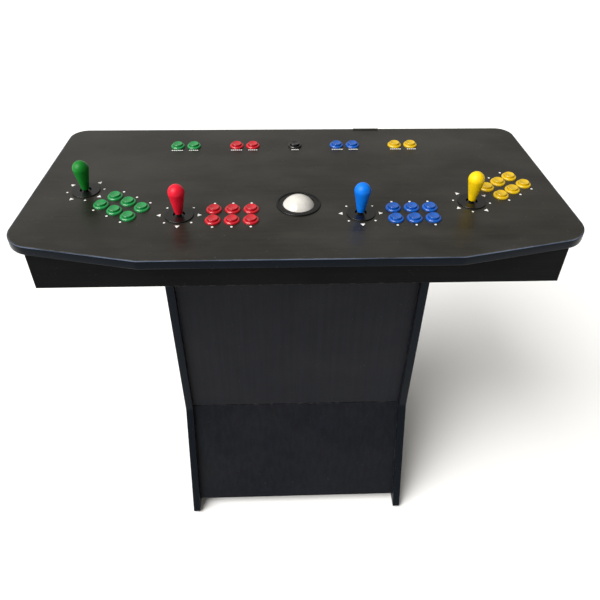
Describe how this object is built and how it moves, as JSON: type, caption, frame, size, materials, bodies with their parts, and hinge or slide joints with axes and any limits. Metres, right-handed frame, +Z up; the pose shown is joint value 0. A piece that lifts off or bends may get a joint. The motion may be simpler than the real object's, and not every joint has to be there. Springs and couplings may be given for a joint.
{
  "type": "arcade control cabinet",
  "caption": "Pedestal arcade control cabinet: wide black panel with bat-top joysticks, coloured push buttons and a central trackball, on a stand with a flared foot.",
  "frame": {"origin": "on the floor under the middle of the control panel", "axes": "+X to the players' right along the panel, +Y away from the players towards the back edge, +Z up"},
  "size_m": [1.1508, 0.54, 1.0205],
  "materials": {
    "black_laminate": "satin black laminate with a fine straight grain, on medium-density board",
    "edge_vinyl": "black vinyl T-section edge moulding with a soft sheen",
    "black_board": "black satin melamine-faced board",
    "raw_board": "unfinished medium-density board and softwood battens",
    "foot_rubber": "moulded black rubber",
    "switch_black": "black glass-filled nylon switch cases",
    "control_black": "black moulded plastic with a fine satin texture",
    "plated_steel": "zinc-plated steel",
    "ball_white": "polished white phenolic resin",
    "circuit_green": "green solder-masked circuit board",
    "button_green": "green moulded plastic with a soft gloss",
    "button_red": "red moulded plastic with a soft gloss",
    "button_blue": "blue moulded plastic with a soft gloss",
    "button_yellow": "yellow moulded plastic with a soft gloss",
    "button_black": "black moulded plastic with a soft gloss"
  },
  "bodies": {
    "cabinet": {"control_top": "black_laminate", "top_edge_moulding": "edge_vinyl", "box_walls": "black_board", "box_bottom": "raw_board", "pedestal_sides": "black_board", "upper_front_panel": "black_board", "lower_front_panel": "black_board", "back_panel": "black_board", "inner_frame": "raw_board", "levelling_feet": "foot_rubber", "button_housings": "button_black", "microswitches": "switch_black", "joystick_mounts": "control_black", "trackball_ring": "control_black", "trackball_housing": "control_black", "encoder_board": "circuit_green"},
    "green_stick_cradle": {"green_stick_cradle": "plated_steel"},
    "green_joystick": {"green_joystick": "button_green"},
    "red_stick_cradle": {"red_stick_cradle": "plated_steel"},
    "red_joystick": {"red_joystick": "button_red"},
    "blue_stick_cradle": {"blue_stick_cradle": "plated_steel"},
    "blue_joystick": {"blue_joystick": "button_blue"},
    "yellow_stick_cradle": {"yellow_stick_cradle": "plated_steel"},
    "yellow_joystick": {"yellow_joystick": "button_yellow"},
    "trackball_ball": {"trackball_ball": "ball_white"},
    "trackball_forward_roller": {"trackball_forward_roller": "plated_steel"},
    "trackball_sideways_roller": {"trackball_sideways_roller": "plated_steel"},
    "green_button_1": {"green_button_1": "button_green"},
    "green_button_2": {"green_button_2": "button_green"},
    "green_button_3": {"green_button_3": "button_green"},
    "green_button_4": {"green_button_4": "button_green"},
    "green_button_5": {"green_button_5": "button_green"},
    "green_button_6": {"green_button_6": "button_green"},
    "red_button_1": {"red_button_1": "button_red"},
    "red_button_2": {"red_button_2": "button_red"},
    "red_button_3": {"red_button_3": "button_red"},
    "red_button_4": {"red_button_4": "button_red"},
    "red_button_5": {"red_button_5": "button_red"},
    "red_button_6": {"red_button_6": "button_red"},
    "blue_button_1": {"blue_button_1": "button_blue"},
    "blue_button_2": {"blue_button_2": "button_blue"},
    "blue_button_3": {"blue_button_3": "button_blue"},
    "blue_button_4": {"blue_button_4": "button_blue"},
    "blue_button_5": {"blue_button_5": "button_blue"},
    "blue_button_6": {"blue_button_6": "button_blue"},
    "yellow_button_1": {"yellow_button_1": "button_yellow"},
    "yellow_button_2": {"yellow_button_2": "button_yellow"},
    "yellow_button_3": {"yellow_button_3": "button_yellow"},
    "yellow_button_4": {"yellow_button_4": "button_yellow"},
    "yellow_button_5": {"yellow_button_5": "button_yellow"},
    "yellow_button_6": {"yellow_button_6": "button_yellow"},
    "green_coin_button": {"green_coin_button": "button_green"},
    "green_start_button": {"green_start_button": "button_green"},
    "red_coin_button": {"red_coin_button": "button_red"},
    "red_start_button": {"red_start_button": "button_red"},
    "blue_coin_button": {"blue_coin_button": "button_blue"},
    "blue_start_button": {"blue_start_button": "button_blue"},
    "yellow_coin_button": {"yellow_coin_button": "button_yellow"},
    "yellow_start_button": {"yellow_start_button": "button_yellow"},
    "black_menu_button": {"black_menu_button": "button_black"}
  },
  "joints": [
    {"name": "green_stick_forward", "type": "hinge", "parent": "cabinet", "child": "green_stick_cradle", "pos_m": [-0.45444, -0.01801, 0.92], "axis": [-0.8141, 0.5807, 0], "range_deg": [-8, 8], "stiffness_Nm_per_rad": 1.2},
    {"name": "green_stick_sideways", "type": "hinge", "parent": "green_stick_cradle", "child": "green_joystick", "pos_m": [-0.45444, -0.01801, 0.92], "axis": [0.5807, 0.8141, 0], "range_deg": [-8, 8], "stiffness_Nm_per_rad": 1.2},
    {"name": "red_stick_forward", "type": "hinge", "parent": "cabinet", "child": "red_stick_cradle", "pos_m": [-0.245, -0.116, 0.92], "axis": [-1, 0, 0], "range_deg": [-8, 8], "stiffness_Nm_per_rad": 1.2},
    {"name": "red_stick_sideways", "type": "hinge", "parent": "red_stick_cradle", "child": "red_joystick", "pos_m": [-0.245, -0.116, 0.92], "axis": [0, 1, 0], "range_deg": [-8, 8], "stiffness_Nm_per_rad": 1.2},
    {"name": "blue_stick_forward", "type": "hinge", "parent": "cabinet", "child": "blue_stick_cradle", "pos_m": [0.127, -0.116, 0.92], "axis": [-1, 0, 0], "range_deg": [-8, 8], "stiffness_Nm_per_rad": 1.2},
    {"name": "blue_stick_sideways", "type": "hinge", "parent": "blue_stick_cradle", "child": "blue_joystick", "pos_m": [0.127, -0.116, 0.92], "axis": [0, 1, 0], "range_deg": [-8, 8], "stiffness_Nm_per_rad": 1.2},
    {"name": "yellow_stick_forward", "type": "hinge", "parent": "cabinet", "child": "yellow_stick_cradle", "pos_m": [0.36746, -0.0763, 0.92], "axis": [-0.8141, -0.5807, 0], "range_deg": [-8, 8], "stiffness_Nm_per_rad": 1.2},
    {"name": "yellow_stick_sideways", "type": "hinge", "parent": "yellow_stick_cradle", "child": "yellow_joystick", "pos_m": [0.36746, -0.0763, 0.92], "axis": [-0.5807, 0.8141, 0], "range_deg": [-8, 8], "stiffness_Nm_per_rad": 1.2},
    {"name": "trackball_roll", "type": "hinge", "parent": "cabinet", "child": "trackball_ball", "pos_m": [0, -0.078, 0.93], "axis": [-1, 0, 0], "continuous": true},
    {"name": "forward_roller_spin", "type": "hinge", "parent": "cabinet", "child": "trackball_forward_roller", "pos_m": [0, -0.04475, 0.9021], "axis": [-1, 0, 0], "continuous": true},
    {"name": "sideways_roller_spin", "type": "hinge", "parent": "cabinet", "child": "trackball_sideways_roller", "pos_m": [0.03325, -0.078, 0.9021], "axis": [0, 1, 0], "continuous": true},
    {"name": "green_button_1_press", "type": "slide", "parent": "cabinet", "child": "green_button_1", "axis": [0, 0, -1], "range_m": [0, 0.0035], "stiffness_N_per_m": 260, "springref_m": -0.0008},
    {"name": "green_button_2_press", "type": "slide", "parent": "cabinet", "child": "green_button_2", "axis": [0, 0, -1], "range_m": [0, 0.0035], "stiffness_N_per_m": 260, "springref_m": -0.0008},
    {"name": "green_button_3_press", "type": "slide", "parent": "cabinet", "child": "green_button_3", "axis": [0, 0, -1], "range_m": [0, 0.0035], "stiffness_N_per_m": 260, "springref_m": -0.0008},
    {"name": "green_button_4_press", "type": "slide", "parent": "cabinet", "child": "green_button_4", "axis": [0, 0, -1], "range_m": [0, 0.0035], "stiffness_N_per_m": 260, "springref_m": -0.0008},
    {"name": "green_button_5_press", "type": "slide", "parent": "cabinet", "child": "green_button_5", "axis": [0, 0, -1], "range_m": [0, 0.0035], "stiffness_N_per_m": 260, "springref_m": -0.0008},
    {"name": "green_button_6_press", "type": "slide", "parent": "cabinet", "child": "green_button_6", "axis": [0, 0, -1], "range_m": [0, 0.0035], "stiffness_N_per_m": 260, "springref_m": -0.0008},
    {"name": "red_button_1_press", "type": "slide", "parent": "cabinet", "child": "red_button_1", "axis": [0, 0, -1], "range_m": [0, 0.0035], "stiffness_N_per_m": 260, "springref_m": -0.0008},
    {"name": "red_button_2_press", "type": "slide", "parent": "cabinet", "child": "red_button_2", "axis": [0, 0, -1], "range_m": [0, 0.0035], "stiffness_N_per_m": 260, "springref_m": -0.0008},
    {"name": "red_button_3_press", "type": "slide", "parent": "cabinet", "child": "red_button_3", "axis": [0, 0, -1], "range_m": [0, 0.0035], "stiffness_N_per_m": 260, "springref_m": -0.0008},
    {"name": "red_button_4_press", "type": "slide", "parent": "cabinet", "child": "red_button_4", "axis": [0, 0, -1], "range_m": [0, 0.0035], "stiffness_N_per_m": 260, "springref_m": -0.0008},
    {"name": "red_button_5_press", "type": "slide", "parent": "cabinet", "child": "red_button_5", "axis": [0, 0, -1], "range_m": [0, 0.0035], "stiffness_N_per_m": 260, "springref_m": -0.0008},
    {"name": "red_button_6_press", "type": "slide", "parent": "cabinet", "child": "red_button_6", "axis": [0, 0, -1], "range_m": [0, 0.0035], "stiffness_N_per_m": 260, "springref_m": -0.0008},
    {"name": "blue_button_1_press", "type": "slide", "parent": "cabinet", "child": "blue_button_1", "axis": [0, 0, -1], "range_m": [0, 0.0035], "stiffness_N_per_m": 260, "springref_m": -0.0008},
    {"name": "blue_button_2_press", "type": "slide", "parent": "cabinet", "child": "blue_button_2", "axis": [0, 0, -1], "range_m": [0, 0.0035], "stiffness_N_per_m": 260, "springref_m": -0.0008},
    {"name": "blue_button_3_press", "type": "slide", "parent": "cabinet", "child": "blue_button_3", "axis": [0, 0, -1], "range_m": [0, 0.0035], "stiffness_N_per_m": 260, "springref_m": -0.0008},
    {"name": "blue_button_4_press", "type": "slide", "parent": "cabinet", "child": "blue_button_4", "axis": [0, 0, -1], "range_m": [0, 0.0035], "stiffness_N_per_m": 260, "springref_m": -0.0008},
    {"name": "blue_button_5_press", "type": "slide", "parent": "cabinet", "child": "blue_button_5", "axis": [0, 0, -1], "range_m": [0, 0.0035], "stiffness_N_per_m": 260, "springref_m": -0.0008},
    {"name": "blue_button_6_press", "type": "slide", "parent": "cabinet", "child": "blue_button_6", "axis": [0, 0, -1], "range_m": [0, 0.0035], "stiffness_N_per_m": 260, "springref_m": -0.0008},
    {"name": "yellow_button_1_press", "type": "slide", "parent": "cabinet", "child": "yellow_button_1", "axis": [0, 0, -1], "range_m": [0, 0.0035], "stiffness_N_per_m": 260, "springref_m": -0.0008},
    {"name": "yellow_button_2_press", "type": "slide", "parent": "cabinet", "child": "yellow_button_2", "axis": [0, 0, -1], "range_m": [0, 0.0035], "stiffness_N_per_m": 260, "springref_m": -0.0008},
    {"name": "yellow_button_3_press", "type": "slide", "parent": "cabinet", "child": "yellow_button_3", "axis": [0, 0, -1], "range_m": [0, 0.0035], "stiffness_N_per_m": 260, "springref_m": -0.0008},
    {"name": "yellow_button_4_press", "type": "slide", "parent": "cabinet", "child": "yellow_button_4", "axis": [0, 0, -1], "range_m": [0, 0.0035], "stiffness_N_per_m": 260, "springref_m": -0.0008},
    {"name": "yellow_button_5_press", "type": "slide", "parent": "cabinet", "child": "yellow_button_5", "axis": [0, 0, -1], "range_m": [0, 0.0035], "stiffness_N_per_m": 260, "springref_m": -0.0008},
    {"name": "yellow_button_6_press", "type": "slide", "parent": "cabinet", "child": "yellow_button_6", "axis": [0, 0, -1], "range_m": [0, 0.0035], "stiffness_N_per_m": 260, "springref_m": -0.0008},
    {"name": "green_coin_button_press", "type": "slide", "parent": "cabinet", "child": "green_coin_button", "axis": [0, 0, -1], "range_m": [0, 0.0035], "stiffness_N_per_m": 260, "springref_m": -0.0008},
    {"name": "green_start_button_press", "type": "slide", "parent": "cabinet", "child": "green_start_button", "axis": [0, 0, -1], "range_m": [0, 0.0035], "stiffness_N_per_m": 260, "springref_m": -0.0008},
    {"name": "red_coin_button_press", "type": "slide", "parent": "cabinet", "child": "red_coin_button", "axis": [0, 0, -1], "range_m": [0, 0.0035], "stiffness_N_per_m": 260, "springref_m": -0.0008},
    {"name": "red_start_button_press", "type": "slide", "parent": "cabinet", "child": "red_start_button", "axis": [0, 0, -1], "range_m": [0, 0.0035], "stiffness_N_per_m": 260, "springref_m": -0.0008},
    {"name": "blue_coin_button_press", "type": "slide", "parent": "cabinet", "child": "blue_coin_button", "axis": [0, 0, -1], "range_m": [0, 0.0035], "stiffness_N_per_m": 260, "springref_m": -0.0008},
    {"name": "blue_start_button_press", "type": "slide", "parent": "cabinet", "child": "blue_start_button", "axis": [0, 0, -1], "range_m": [0, 0.0035], "stiffness_N_per_m": 260, "springref_m": -0.0008},
    {"name": "yellow_coin_button_press", "type": "slide", "parent": "cabinet", "child": "yellow_coin_button", "axis": [0, 0, -1], "range_m": [0, 0.0035], "stiffness_N_per_m": 260, "springref_m": -0.0008},
    {"name": "yellow_start_button_press", "type": "slide", "parent": "cabinet", "child": "yellow_start_button", "axis": [0, 0, -1], "range_m": [0, 0.0035], "stiffness_N_per_m": 260, "springref_m": -0.0008},
    {"name": "black_menu_button_press", "type": "slide", "parent": "cabinet", "child": "black_menu_button", "axis": [0, 0, -1], "range_m": [0, 0.0035], "stiffness_N_per_m": 260, "springref_m": -0.0008}
  ],
  "couplings": [
    {"joint": "forward_roller_spin", "follows": "trackball_roll", "ratio": -7.62}
  ]
}
